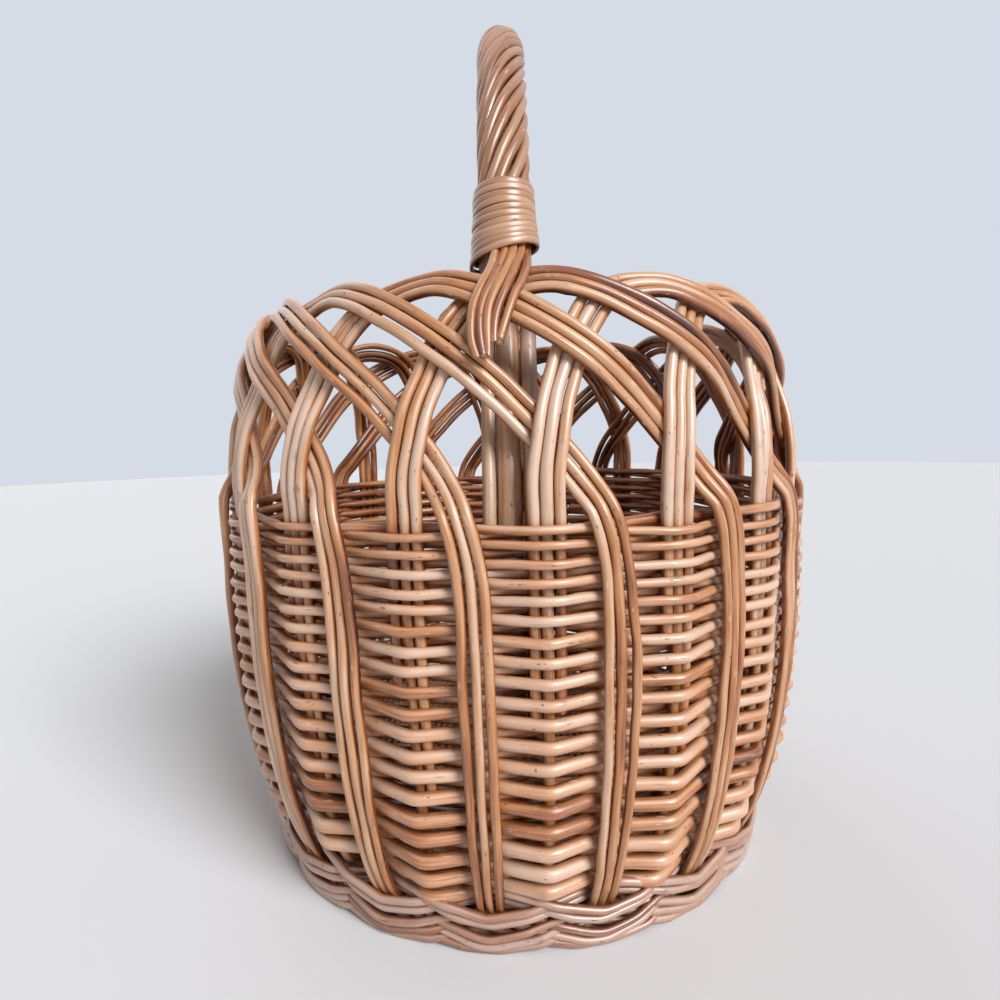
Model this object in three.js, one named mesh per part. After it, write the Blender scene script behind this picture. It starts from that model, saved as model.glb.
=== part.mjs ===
// Willow gathering basket: a round body in plain randing, a three-rod openwork border that is
// carried down the outside of the weave, a plaited foot border and a roped bow handle.
// Millimetres, +Z up, standing on z = 0, with the handle arching from front (-Y) to back (+Y).
import * as THREE from 'three';

// Body
const STAKE_PAIRS = 9; // pairs of stake groups round the body
const ROD_DIAMETER = 5; // each of the three rods in a stake group
const ROD_CROWDING = 0.96; // spacing of the three rods, in rod diameters
const FIRST_STAKE = 0.245; // place of the first stake right of the front, in stake pitches
const WALL_RADIUS = 158; // stake centres where the body is widest
const BASE_RADIUS = 130; // stake centres where the wall leaves the base
const BELLY_RISE = 150; // height over which the wall swells from base to widest
const BYE_DEPTH = 48; // how far the two inserted rods reach down into the weave
const TONGUE = 6; // how far the stakes' feet reach in below the base weave

// Weave
const WEAVER_THICKNESS = 5.15; // side of a weaver at the foot of the wall
const WEAVER_THINNING = 0.42; // share of their spacing that the weavers lose by the top
const WEAVERS_PER_SET = 9; // weavers, end to end, in each of the two alternating sets
const TURNS_PER_WEAVER = 2;

// Openwork border
const BORDER_HEIGHT = 92; // from the top of the weave to the rods along the rim
const NECK_LEAN = 11; // how far the border draws in evenly from the weave to the rim
const RIM_LEAN = 13; // how far it turns in further, mostly close to the rim

// Foot and base
const FOOT_HEIGHT = 23;
const FOOT_WIDTH = 17; // flat underside of the foot border, across
const FOOT_WAVE = 1.1; // how far the plait's strands stand out
const BASE_STICK_DIAMETER = 6;
const STICKS_ALONG = 5; // base sticks that run from front to back
const STICKS_ACROSS = 4; // base sticks that run from left to right
const BASE_WEAVE_THICKNESS = 5;
const BASE_WEAVE_RIDGES = 6;

// Handle
const BOW_DIAMETER = 10;
const LEG_FOOT_HEIGHT = 42; // where the bow's legs end inside the wall
const HANDLE_INSET = 18; // bow's middle inside the rods along the rim
const HANDLE_RISE = 145; // bow's top above the rim
const ROPE_ROD_DIAMETER = 6; // rods roped round the bow
const ROPE_STRANDS = 3; // strands of three rods each
const ROPE_TURNS = 3; // turns of each strand from lashing to lashing
const ROPE_STEPS = 30;
const ROPE_FOOT = 8.5; // where the roping ends, above the rods along the rim
const CANE_WIDTH = 2.5;
const CANE_THICKNESS = 1.8;
const CANE_GAP = 1.4; // between turns of a lashing
const LASHING_TURNS = 9;

const CLEARANCE = 0.35; // between pieces that bear on each other

// Worked-out sizes
const STAKE_COUNT = 2 * STAKE_PAIRS;
const PITCH = (2 * Math.PI) / STAKE_COUNT;
const ROD_SPACING = ROD_DIAMETER * ROD_CROWDING;
const STAKE_FOOT = FOOT_HEIGHT + CLEARANCE + ROD_DIAMETER / 2;
const BELLY_START = FOOT_HEIGHT - ROD_DIAMETER;
const ROW_PITCH = WEAVER_THICKNESS + CLEARANCE; // at the foot of the wall
const WEAVE_BOTTOM = STAKE_FOOT + ROD_DIAMETER / 2 + CLEARANCE;
const ROWS = 2 * (WEAVERS_PER_SET * TURNS_PER_WEAVER + 1); // with the slope of the two sets
const WALL_TOP = rowHeight(ROWS);
const BYE_FOOT = WALL_TOP - BYE_DEPTH;
const RIM_HEIGHT = WALL_TOP + BORDER_HEIGHT;
const HANDLE_RADIUS = bodyRadius(RIM_HEIGHT) - HANDLE_INSET;
const CROSSING = ROD_DIAMETER / 2 + 2.6 * CLEARANCE; // half the distance between crossing groups
const BASE_WEAVE_FLOOR = STAKE_FOOT + BASE_STICK_DIAMETER / 2 + CLEARANCE;
const ROPE_RADIUS = BOW_DIAMETER / 2 + CLEARANCE + ROPE_ROD_DIAMETER;

const WILLOW = { color: 0xb98a58, roughness: 0.5, metalness: 0 };
const WEAVER_WILLOW = { color: 0xa9774a, roughness: 0.55, metalness: 0 };
const DARK_WILLOW = { color: 0x8a5b38, roughness: 0.6, metalness: 0 };
const CANE = { color: 0xc08f55, roughness: 0.45, metalness: 0 };

const basket = new THREE.Group();

function addPiece(name, geometry, finish) {
  const piece = new THREE.Mesh(geometry, new THREE.MeshStandardMaterial(finish));
  piece.name = name;
  basket.add(piece);
}

function numbered(stem, number) {
  return `${stem}_${String(number).padStart(2, '0')}`;
}

// Lofts and sweeps

function signedVolume(positions, index) {
  const a = new THREE.Vector3();
  const b = new THREE.Vector3();
  const c = new THREE.Vector3();
  let volume = 0;
  for (let i = 0; i < index.length; i += 3) {
    a.fromArray(positions, 3 * index[i]);
    b.fromArray(positions, 3 * index[i + 1]);
    c.fromArray(positions, 3 * index[i + 2]);
    volume += a.dot(b.cross(c)) / 6;
  }
  return volume;
}

// Joins rings of equal point counts. With an outline the two ends are capped, without one the
// last ring joins the first.
function loft(rings, outline) {
  const count = rings[0].length;
  const positions = rings.flat().flatMap((point) => point.toArray());
  const index = [];
  const spans = outline ? rings.length - 1 : rings.length;
  for (let i = 0; i < spans; i += 1) {
    const here = i * count;
    const next = ((i + 1) % rings.length) * count;
    for (let j = 0; j < count; j += 1) {
      const k = (j + 1) % count;
      index.push(here + j, here + k, next + k, here + j, next + k, next + j);
    }
  }
  if (outline) {
    const end = (rings.length - 1) * count;
    for (const [a, b, c] of THREE.ShapeUtils.triangulateShape(outline, [])) {
      index.push(c, b, a, end + a, end + b, end + c);
    }
  }
  if (signedVolume(positions, index) < 0) {
    index.reverse();
  }
  const geometry = new THREE.BufferGeometry();
  geometry.setAttribute('position', new THREE.Float32BufferAttribute(positions, 3));
  geometry.setIndex(index);
  geometry.computeVertexNormals();
  return geometry;
}

// Rings of a section carried along a path. Each ring lies in the plane that halves the bend, and
// is stretched in it so that the section keeps its thickness through a kink.
function sweepRings(path, outs, sectionAt) {
  return path.map((point, i) => {
    const before = path[Math.max(i - 1, 0)];
    const after = path[Math.min(i + 1, path.length - 1)];
    const arriving = point.clone().sub(before).normalize();
    const leaving = after.clone().sub(point).normalize();
    const along = arriving.clone().add(leaving).normalize();
    const bend = leaving.clone().sub(arriving);
    const isKink = i > 0 && i < path.length - 1 && bend.length() > 1e-6;
    const stretch = isKink ? 1 / Math.max(along.dot(leaving), 0.5) - 1 : 0;
    bend.normalize();
    const across = along.clone().cross(outs[i]).normalize();
    const out = across.clone().cross(along);
    return sectionAt(i).map((corner) => {
      const reach = across.clone().multiplyScalar(corner.x).addScaledVector(out, corner.y);
      reach.addScaledVector(bend, reach.dot(bend) * stretch);
      return reach.add(point);
    });
  });
}

function sweep(path, outs, sectionAt) {
  return loft(sweepRings(path, outs, sectionAt), sectionAt(0));
}

function polygon(sides, radius, start = 0) {
  return Array.from({ length: sides }, (_, i) => {
    const angle = start + (2 * Math.PI * i) / sides;
    return new THREE.Vector2(radius * Math.cos(angle), radius * Math.sin(angle));
  });
}

function rectangle(width, thickness) {
  const corners = [[-1, -1], [1, -1], [1, 1], [-1, 1]];
  return corners.map(([x, y]) => new THREE.Vector2((x * width) / 2, (y * thickness) / 2));
}

// Section of three rods side by side, or of the middle one alone where spread is 0.
function rodsSection(spread) {
  const half = ROD_DIAMETER / 2;
  const angles = [240, 300, 0, 30, 60, 90, 120, 150, 180].map(THREE.MathUtils.degToRad);
  const steps = [-1, 1, 1, 1, 0.5, 0, -0.5, -1, -1];
  const heights = [-half, -half, 0, half, half / 2, half, half / 2, half, 0];
  const overhang = [0, 0, half, 0, 0, 0, 0, 0, -half];
  return angles.map((angle, i) => {
    const alone = new THREE.Vector2(half * Math.cos(angle), half * Math.sin(angle));
    const abreast = new THREE.Vector2(steps[i] * ROD_SPACING + overhang[i], heights[i]);
    return alone.lerp(abreast, spread);
  });
}

// The body's surface, on which the stakes' centres lie

function onBody(turn, radius, height) {
  const angle = turn * PITCH;
  return new THREE.Vector3(radius * Math.sin(angle), -radius * Math.cos(angle), height);
}

function bodyRadius(height) {
  const swell = THREE.MathUtils.clamp((height - BELLY_START) / BELLY_RISE, 0, 1) ** 0.6;
  const rise = Math.max((height - WALL_TOP) / BORDER_HEIGHT, 0);
  const belly = (WALL_RADIUS - BASE_RADIUS) * Math.sin((swell * Math.PI) / 2);
  return BASE_RADIUS + belly - NECK_LEAN * rise - RIM_LEAN * rise ** 6;
}

function bodySlope(height) {
  return bodyRadius(height + 0.5) - bodyRadius(height - 0.5);
}

// The weavers thin evenly from row to row, so their rows draw closer together up the wall.
function rowHeight(row) {
  return WEAVE_BOTTOM + ROW_PITCH * row * (1 - (WEAVER_THINNING * row) / (2 * ROWS));
}

function weaverThickness(height) {
  const climbed = Math.max(height - WEAVE_BOTTOM, 0) / (ROW_PITCH * ROWS);
  return ROW_PITCH * Math.sqrt(1 - 2 * WEAVER_THINNING * climbed) - CLEARANCE;
}

// Share of the full three-rod width that a stake group has at a height.
function stakeSpread(height) {
  return THREE.MathUtils.clamp((height - BYE_FOOT) / (2 * ROD_DIAMETER), 0, 1);
}

// How far a weaver stands off the stake centres in front and behind, so that its straight runs
// clear the outer rods of a group, and how far out the bands lie half-way between stakes.
function standoffs(height) {
  const radius = bodyRadius(height);
  const lean = bodySlope(height);
  const spread = ROD_SPACING * stakeSpread(height);
  const rod = ROD_DIAMETER * Math.hypot(1, lean);
  const weaver = weaverThickness(height);
  const clear = (rod + weaver * (1 + lean)) / 2 + CLEARANCE;
  let front = clear;
  let behind = clear;
  let slope = 0;
  for (let i = 0; i < 8; i += 1) {
    const outer = radius + front;
    const inner = radius - behind;
    slope = (outer - inner * Math.cos(PITCH)) / (inner * Math.sin(PITCH));
    const rise = (outer * Math.cos(PITCH) - inner) / (outer * Math.sin(PITCH));
    front = clear * Math.hypot(1, slope) + spread * slope;
    behind = clear + spread * Math.max(rise, 0) + CLEARANCE;
  }
  const chord = radius * (Math.cos(PITCH / 2) - 1) + (front - behind) / 2;
  const least = chord + ROD_SPACING * (slope - Math.sin(PITCH / 2)) + clear * Math.hypot(1, slope);
  const flush = front + (weaver - ROD_DIAMETER) / 2;
  return { front, behind, band: Math.max(flush, least) + CLEARANCE };
}

// Stake groups and openwork border

// Route of a group from the top of the weave, over the rim and down again: stake pitches to the
// right, share of the border's height, and side of the surface (1 in front, -1 behind). Groups
// meet at 0.04 and 3.04, at 0.25 and 2.25 and at 0.52 and 1.52 pitches, at equal heights.
const BORDER_ROUTE = [
  [0, 0, 0],
  [0, 0.1, 1.1],
  [0.03, 0.22, 1.1],
  [0.05, 0.38, 1.05],
  [0.1, 0.51, 0.05],
  [0.17, 0.62, -1],
  [0.31, 0.79, -1],
  [0.52, 0.93, -1],
  [0.8, 0.985, -0.9],
  [1.02, 1, 0],
  [1.24, 0.985, 0.9],
  [1.52, 0.93, 1],
  [1.82, 0.855, 1],
  [2.1, 0.77, 1],
  [2.36, 0.675, 1],
  [2.54, 0.6, 0.2],
  [2.7, 0.515, -0.6],
  [2.86, 0.42, -1.1],
  [3.04, 0.305, -1.15],
  [3.18, 0.21, -1.2],
];
const BAND_PITCHES = 3.5; // from a stake to its band down the outside of the weave
const BAND_LAG = 0.13; // pitches that a band still has to go where it leaves the border
const BAND_BEND = 0.2; // depth below the border where a band turns straight down, in border heights
const BORDER_STEPS = 14;
const BAND_STEPS = 4;

function station(turn, height, offset, spread) {
  const tilt = height > WALL_TOP ? Math.atan(bodySlope(height)) : 0;
  const radius = bodyRadius(height) + offset * Math.cos(tilt);
  return {
    point: onBody(turn, radius, height - offset * Math.sin(tilt)),
    out: onBody(turn, Math.cos(tilt), -Math.sin(tilt)),
    spread,
  };
}

function stakeStations(turn) {
  const tongue = [BASE_RADIUS - TONGUE, bodyRadius(STAKE_FOOT) + CLEARANCE];
  const bent = { point: onBody(turn, tongue[1], STAKE_FOOT), out: onBody(turn, 1, -1), spread: 0 };
  const start = { point: onBody(turn, tongue[0], STAKE_FOOT), out: onBody(turn, 0, -1), spread: 0 };
  const heights = [0.09, 0.23, 0.45, 0.7, 1].map((share) => {
    return THREE.MathUtils.lerp(STAKE_FOOT, BYE_FOOT, share);
  });
  heights.push(BYE_FOOT + 2 * ROD_DIAMETER);
  return [start, bent, ...heights.map((height) => station(turn, height, 0, stakeSpread(height)))];
}

function borderStations(turn) {
  const length = WALL_RADIUS * PITCH;
  const outside = standoffs(WALL_TOP).band;
  const route = BORDER_ROUTE.map(([pitches, share, side]) => {
    return new THREE.Vector3(pitches * length, share * BORDER_HEIGHT, side * CROSSING);
  });
  const lift = 3 * CLEARANCE;
  route.push(new THREE.Vector3((BAND_PITCHES - BAND_LAG) * length, lift, outside + lift));
  route.push(new THREE.Vector3(BAND_PITCHES * length, -BAND_BEND * BORDER_HEIGHT, outside));
  const curve = new THREE.CatmullRomCurve3(route, false, 'centripetal');
  return curve.getSpacedPoints(BORDER_STEPS).map((mark) => {
    return station(turn + mark.x / length, WALL_TOP + mark.y, mark.z, 1);
  });
}

function bandStations(turn) {
  const top = WALL_TOP - BAND_BEND * BORDER_HEIGHT;
  const foot = FOOT_HEIGHT + CLEARANCE + ROD_DIAMETER / 2;
  return Array.from({ length: BAND_STEPS }, (_, i) => {
    const height = THREE.MathUtils.lerp(top, foot, ((i + 1) / BAND_STEPS) ** 0.85);
    return station(turn + BAND_PITCHES, height, standoffs(height).band, 1);
  });
}

function addBorderGroups() {
  for (let i = 0; i < STAKE_COUNT; i += 1) {
    const turn = FIRST_STAKE + i;
    const stations = [...stakeStations(turn), ...borderStations(turn), ...bandStations(turn)];
    const path = stations.map((each) => each.point);
    const outs = stations.map((each) => each.out);
    const geometry = sweep(path, outs, (at) => rodsSection(stations[at].spread));
    addPiece(numbered('border_group', i + 1), geometry, WILLOW);
  }
}

// Weave: two sets of weavers wind up the wall together, each passing in front of the stakes that
// the other passes behind.

function addWeavers(set) {
  const stakesPassed = TURNS_PER_WEAVER * STAKE_COUNT;
  const backStake = STAKE_COUNT / 2 - (STAKE_COUNT / 2 % 2) + set;
  for (let i = 0; i < WEAVERS_PER_SET; i += 1) {
    const path = [];
    const outs = [];
    for (let j = 0; j <= stakesPassed; j += 1) {
      const passed = i * stakesPassed + j;
      const height = rowHeight(0.5 + set + (2 * (passed + set)) / STAKE_COUNT);
      const { front, behind } = standoffs(height);
      const offset = j % 2 === 0 ? -behind : front;
      const turn = FIRST_STAKE + backStake + passed;
      path.push(onBody(turn, bodyRadius(height) + offset, height));
      outs.push(onBody(turn, 1, 0));
    }
    const last = path.length - 1;
    path[0].lerp(path[1], CLEARANCE / path[0].distanceTo(path[1]));
    path[last].lerp(path[last - 1], CLEARANCE / path[last].distanceTo(path[last - 1]));
    const name = numbered(set === 0 ? 'weaver_a' : 'weaver_b', i + 1);
    const section = (at) => rectangle(weaverThickness(path[at].z), weaverThickness(path[at].z));
    addPiece(name, sweep(path, outs, section), WEAVER_WILLOW);
  }
}

// Base and foot

function addBaseStick(name, aside, fan, turnedAcross) {
  const section = polygon(6, BASE_STICK_DIAMETER / 2);
  const spacing = BASE_STICK_DIAMETER + 3 * CLEARANCE;
  const reach = BASE_RADIUS - TONGUE - 2 * CLEARANCE;
  const low = STAKE_FOOT - (turnedAcross ? spacing : 0);
  const straight = spacing * (STICKS_ALONG / 2 + 1);
  const half = [
    [aside, 0, low],
    [aside, straight, low],
    [reach * 0.45 * Math.sin(fan), reach * 0.45 * Math.cos(fan), STAKE_FOOT],
    [reach * Math.sin(fan), reach * Math.cos(fan), STAKE_FOOT],
  ];
  const ends = half.slice(1).reverse().map(([x, y, z]) => new THREE.Vector3(x, -y, z));
  const path = [...ends, ...half.map(([x, y, z]) => new THREE.Vector3(x, y, z))];
  const across = new THREE.Vector3(0, 0, 1);
  const geometry = sweep(path, path.map(() => across), () => section);
  geometry.rotateZ((turnedAcross ? -Math.PI / 2 : 0) + FIRST_STAKE * PITCH);
  addPiece(name, geometry, DARK_WILLOW);
}

function addBaseSticks() {
  const spacing = BASE_STICK_DIAMETER + 3 * CLEARANCE;
  const runs = [
    ['base_stick_along', STICKS_ALONG, false],
    ['base_stick_across', STICKS_ACROSS, true],
  ];
  for (const [stem, count, turnedAcross] of runs) {
    for (let i = 0; i < count; i += 1) {
      const place = i - (count - 1) / 2;
      const fan = (place * Math.PI) / (STICKS_ALONG + STICKS_ACROSS);
      addBaseStick(numbered(stem, i + 1), place * spacing, fan, turnedAcross);
    }
  }
}

function addBaseWeave() {
  const edge = bodyRadius(STAKE_FOOT) - ROD_DIAMETER - 2 * CLEARANCE;
  const top = BASE_WEAVE_FLOOR + BASE_WEAVE_THICKNESS;
  const profile = [new THREE.Vector2(0, BASE_WEAVE_FLOOR), new THREE.Vector2(edge, BASE_WEAVE_FLOOR)];
  for (let i = 2 * BASE_WEAVE_RIDGES; i >= 0; i -= 1) {
    const dip = i % 2 === 0 ? BASE_WEAVE_THICKNESS / 3 : 0;
    profile.push(new THREE.Vector2((edge * i) / (2 * BASE_WEAVE_RIDGES), top - dip));
  }
  const angles = Array.from({ length: STAKE_COUNT }, (_, i) => i * PITCH);
  const inner = profile.slice(1, -1);
  const floor = [new THREE.Vector3(0, 0, BASE_WEAVE_FLOOR), new THREE.Vector3(0, 0, profile.at(-1).y)];
  const geometry = disc(inner, angles, floor);
  addPiece('base_weave', geometry, DARK_WILLOW);
}

// A solid of revolution whose profile runs from the lower to the upper end of the axis.
function disc(profile, angles, axis) {
  const count = profile.length;
  const points = [...axis];
  const index = [];
  angles.forEach((angle, i) => {
    const here = 2 + i * count;
    const next = 2 + ((i + 1) % angles.length) * count;
    for (const { x, y } of profile) {
      points.push(new THREE.Vector3(x * Math.cos(angle), x * Math.sin(angle), y));
    }
    index.push(0, next, here, 1, here + count - 1, next + count - 1);
    for (let j = 0; j + 1 < count; j += 1) {
      index.push(here + j, next + j, next + j + 1, here + j, next + j + 1, here + j + 1);
    }
  });
  const geometry = new THREE.BufferGeometry().setFromPoints(points);
  geometry.setIndex(index);
  geometry.computeVertexNormals();
  return geometry;
}

// The foot border's section swells outwards from its flat underside, and its outer face is
// ridged where the plait's strands slant down to the right.
function addFootBorder() {
  const landing = bodyRadius(FOOT_HEIGHT) + standoffs(FOOT_HEIGHT).band + ROD_DIAMETER / 2;
  const inner = BASE_RADIUS - TONGUE;
  const flat = inner + FOOT_WIDTH;
  const outline = [
    [inner + 3, 0, 0],
    [flat, 0, 0],
    [THREE.MathUtils.lerp(flat, landing, 0.6), FOOT_HEIGHT * 0.3, 1],
    [THREE.MathUtils.lerp(flat, landing, 0.95), FOOT_HEIGHT * 0.68, 1],
    [landing, FOOT_HEIGHT, 0],
    [inner + 1, FOOT_HEIGHT, 0],
    [inner, FOOT_HEIGHT / 2, 0],
  ];
  const steps = 3 * STAKE_COUNT;
  const rings = Array.from({ length: steps }, (_, i) => {
    const turn = FIRST_STAKE + (i * STAKE_COUNT) / steps;
    return outline.map(([radius, height, ridged]) => {
      const phase = 2 * Math.PI * ((i * STAKE_COUNT) / steps + height / FOOT_HEIGHT);
      return onBody(turn, radius + ridged * FOOT_WAVE * Math.sin(phase), height);
    });
  });
  addPiece('foot_border', loft(rings), WILLOW);
}

// Handle

function legRadius(height) {
  const inside = standoffs(height).behind + weaverThickness(height) / 2;
  return bodyRadius(height) - inside - BOW_DIAMETER / 2 - CLEARANCE;
}

function bowCurve() {
  const below = [0, 0.33, 0.66, 1].map((share) => {
    const height = THREE.MathUtils.lerp(LEG_FOOT_HEIGHT, WALL_TOP, share);
    return [legRadius(height), height];
  });
  const above = [0, 15, 30, 45, 60, 75].map((degrees) => {
    const angle = THREE.MathUtils.degToRad(degrees);
    return [HANDLE_RADIUS * Math.cos(angle), RIM_HEIGHT + HANDLE_RISE * Math.sin(angle)];
  });
  const side = [...below, ...above];
  const front = side.map(([radius, height]) => new THREE.Vector3(0, -radius, height));
  const back = side.map(([radius, height]) => new THREE.Vector3(0, radius, height)).reverse();
  const top = new THREE.Vector3(0, 0, RIM_HEIGHT + HANDLE_RISE);
  return new THREE.CatmullRomCurve3([...front, top, ...back], false, 'centripetal');
}

const bow = bowCurve();
bow.arcLengthDivisions = 2000;

// Share of the bow's length at which its front half reaches a height.
function bowShareAt(height) {
  let share = 0;
  while (share < 0.5 && bow.getPointAt(share).z < height) {
    share += 0.0005;
  }
  return share;
}

// Point at a radius and angle round the bow, with the direction away from the bow.
function roundBow(share, radius, angle) {
  const sideways = new THREE.Vector3(1, 0, 0);
  const away = bow.getTangentAt(share).cross(sideways);
  const out = sideways.multiplyScalar(Math.cos(angle)).addScaledVector(away, Math.sin(angle));
  return { point: bow.getPointAt(share).addScaledVector(out, radius), out };
}

// Shares of the bow's length at the rings of the roping.
function ropeShares() {
  const start = bowShareAt(RIM_HEIGHT + ROPE_FOOT);
  return Array.from({ length: ROPE_STEPS + 1 }, (_, i) => {
    return THREE.MathUtils.lerp(start, 1 - start, i / ROPE_STEPS);
  });
}

function addBow() {
  const roped = ropeShares();
  const legs = [0, 0.2, 0.4, 0.6, 0.8].map((share) => share * roped[0]);
  const shares = [...legs, ...roped, ...legs.map((share) => 1 - share).reverse()];
  const path = shares.map((share) => bow.getPointAt(share));
  const section = polygon(6, BOW_DIAMETER / 2);
  const sideways = new THREE.Vector3(1, 0, 0);
  addPiece('handle_bow', sweep(path, path.map(() => sideways), () => section), DARK_WILLOW);
}

// One strand of three rods, as a slice of the sleeve round the bow.
function strandSection(twistStep) {
  const third = (2 * Math.PI) / ROPE_STRANDS;
  const outer = ROPE_RADIUS;
  const clear = BOW_DIAMETER / 2 + 1.5 * CLEARANCE;
  const side = third / 2 - CLEARANCE / clear;
  const inner = clear / (Math.cos(side / 3) * Math.cos(twistStep / 2));
  const valley = outer - ROPE_ROD_DIAMETER * 0.25;
  return [
    [outer, -third / 3], [valley, -third / 6], [outer, 0], [valley, third / 6], [outer, third / 3],
    [inner, side], [inner, side / 3], [inner, -side / 3], [inner, -side],
  ];
}

function addStrands() {
  const shares = ropeShares();
  const twistStep = (2 * Math.PI * ROPE_TURNS) / ROPE_STEPS;
  const section = strandSection(twistStep);
  const outline = section.map(([radius, angle]) => {
    return new THREE.Vector2(radius * Math.cos(angle), radius * Math.sin(angle));
  });
  for (let i = 0; i < ROPE_STRANDS; i += 1) {
    const rings = shares.map((share, j) => {
      const turned = (2 * Math.PI * i) / ROPE_STRANDS + j * twistStep;
      return section.map(([radius, angle]) => roundBow(share, radius, turned + angle).point);
    });
    addPiece(`handle_strand_${i + 1}`, loft(rings, outline), WILLOW);
  }
}

// Least distance between ring corners that lie more than half a turn apart along a winding.
function leastSelfGap(rings, stepsPerTurn) {
  let least = Infinity;
  for (let i = 0; i < rings.length; i += 1) {
    for (let j = i + Math.ceil(stepsPerTurn / 2); j < rings.length; j += 1) {
      for (const a of rings[i]) {
        for (const b of rings[j]) {
          least = Math.min(least, a.distanceTo(b));
        }
      }
    }
  }
  return least;
}

function addLashing(name, atBack) {
  const stepsPerTurn = 11;
  const steps = LASHING_TURNS * stepsPerTurn;
  const inner = (ROPE_RADIUS + CLEARANCE) / Math.cos(Math.PI / stepsPerTurn);
  const radius = inner + CANE_THICKNESS / 2;
  const start = bowShareAt(RIM_HEIGHT + ROPE_FOOT) + CANE_WIDTH / bow.getLength();
  const length = (LASHING_TURNS * (CANE_WIDTH + CANE_GAP)) / bow.getLength();
  const path = [];
  const outs = [];
  for (let i = 0; i <= steps; i += 1) {
    const share = start + (length * i) / steps;
    const angle = Math.PI / 2 + (2 * Math.PI * i) / stepsPerTurn;
    const { point, out } = roundBow(atBack ? 1 - share : share, radius, atBack ? -angle : angle);
    path.push(point);
    outs.push(out);
  }
  const section = rectangle(CANE_WIDTH, CANE_THICKNESS);
  const rings = sweepRings(path, outs, () => section);
  console.log(`${name}: least gap to itself ${leastSelfGap(rings, stepsPerTurn).toFixed(2)} mm`);
  addPiece(name, loft(rings, section), CANE);
}

// Ends of the roping rods, laid from below the lashing over the rim and down its outside.
function addTail(name, atBack) {
  const over = CROSSING + ROD_DIAMETER + 2 * CLEARANCE;
  const start = HANDLE_RADIUS + BOW_DIAMETER / 2 + 2 * CLEARANCE;
  const lip = RIM_HEIGHT + ROPE_FOOT - CLEARANCE - ROD_DIAMETER / 2;
  const inside = [
    { point: onBody(0.02, start, lip), out: onBody(0, 0, 1) },
    { point: onBody(0, bodyRadius(RIM_HEIGHT) - ROD_DIAMETER, lip + 2 * CLEARANCE), out: onBody(0, 0.2, 1) },
  ];
  const marks = [[-0.03, 1.02, 0.75], [-0.09, 0.95, 1], [-0.16, 0.85, 1], [-0.21, 0.74, 1], [-0.24, 0.63, 1]];
  const outside = marks.map(([turn, share, lift]) => {
    return station(turn, WALL_TOP + share * BORDER_HEIGHT, lift * over, 1);
  });
  const stations = [...inside, ...outside];
  const path = stations.map((each) => each.point);
  const outs = stations.map((each) => each.out);
  const section = rodsSection(1);
  const geometry = sweep(path, outs, () => section);
  geometry.rotateZ(atBack ? Math.PI : 0);
  addPiece(name, geometry, WILLOW);
}

addBorderGroups();
addWeavers(0);
addWeavers(1);
addBaseSticks();
addBaseWeave();
addFootBorder();
addBow();
addStrands();
addLashing('lashing_front', false);
addLashing('lashing_back', true);
addTail('tail_front', false);
addTail('tail_back', true);

export default basket;
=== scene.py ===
"""Looks of the willow gathering basket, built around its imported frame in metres, +Z up.

Every rod is a round, tapering tube with knots, an uneven line and a tone of its own.
"""
import math

import bpy
import numpy as np
from mathutils import Matrix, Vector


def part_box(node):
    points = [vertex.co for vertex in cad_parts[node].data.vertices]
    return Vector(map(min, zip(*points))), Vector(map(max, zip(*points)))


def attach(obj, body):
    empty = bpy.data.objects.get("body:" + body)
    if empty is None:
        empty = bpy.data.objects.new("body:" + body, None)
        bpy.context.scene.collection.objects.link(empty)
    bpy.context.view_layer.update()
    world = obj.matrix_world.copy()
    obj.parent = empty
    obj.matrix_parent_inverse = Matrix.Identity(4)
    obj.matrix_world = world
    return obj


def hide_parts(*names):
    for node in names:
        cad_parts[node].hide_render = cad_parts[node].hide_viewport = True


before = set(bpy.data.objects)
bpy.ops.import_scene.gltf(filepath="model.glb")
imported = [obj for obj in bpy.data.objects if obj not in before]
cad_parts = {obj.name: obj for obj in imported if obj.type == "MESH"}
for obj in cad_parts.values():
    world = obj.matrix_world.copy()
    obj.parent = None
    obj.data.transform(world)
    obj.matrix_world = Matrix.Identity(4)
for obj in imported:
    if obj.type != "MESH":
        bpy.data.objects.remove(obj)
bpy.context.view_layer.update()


def count_nodes(stem):
    return sum(name.startswith(stem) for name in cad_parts)


# Counts and sizes that the frame gives
STAKE_COUNT = count_nodes("border_group")
WEAVERS_PER_SET = count_nodes("weaver_a")
STICKS_ALONG = count_nodes("base_stick_along")
STICKS_ACROSS = count_nodes("base_stick_across")
ROPE_STRANDS = count_nodes("handle_strand")
FOOT_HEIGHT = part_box("foot_border")[1].z
FOOT_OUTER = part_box("foot_border")[1].x

# Body, in the same sizes as the frame's solids
ROD_RADIUS = 0.0025  # each of the three rods in a stake group
FIRST_STAKE = 0.245  # place of the first stake right of the front, in stake pitches
WALL_RADIUS = 0.158  # stake centres where the body is widest
BASE_RADIUS = 0.13  # stake centres where the wall leaves the base
BELLY_RISE = 0.15  # height over which the wall swells from base to widest
BELLY_POWER = 0.6  # below 1, the wall swells sooner
BYE_DEPTH = 0.048  # how far the two inserted rods reach down into the weave
TONGUE = 0.006  # how far the stakes' feet reach in below the base weave
CLEARANCE = 0.00035  # between pieces that bear on each other
WEAVER_THICKNESS = 0.00515  # of a weaver at the foot of the wall
WEAVER_THINNING = 0.42  # share of their spacing that the weavers lose by the top
TURNS_PER_WEAVER = 2
BORDER_HEIGHT = 0.092  # from the top of the weave to the rods along the rim
NECK_LEAN = 0.011  # how far the border draws in evenly from the weave to the rim
RIM_LEAN = 0.013  # how far it turns in further, mostly close to the rim
RIM_POWER = 6  # the higher, the closer to the rim
BASE_STICK_RADIUS = 0.003

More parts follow.
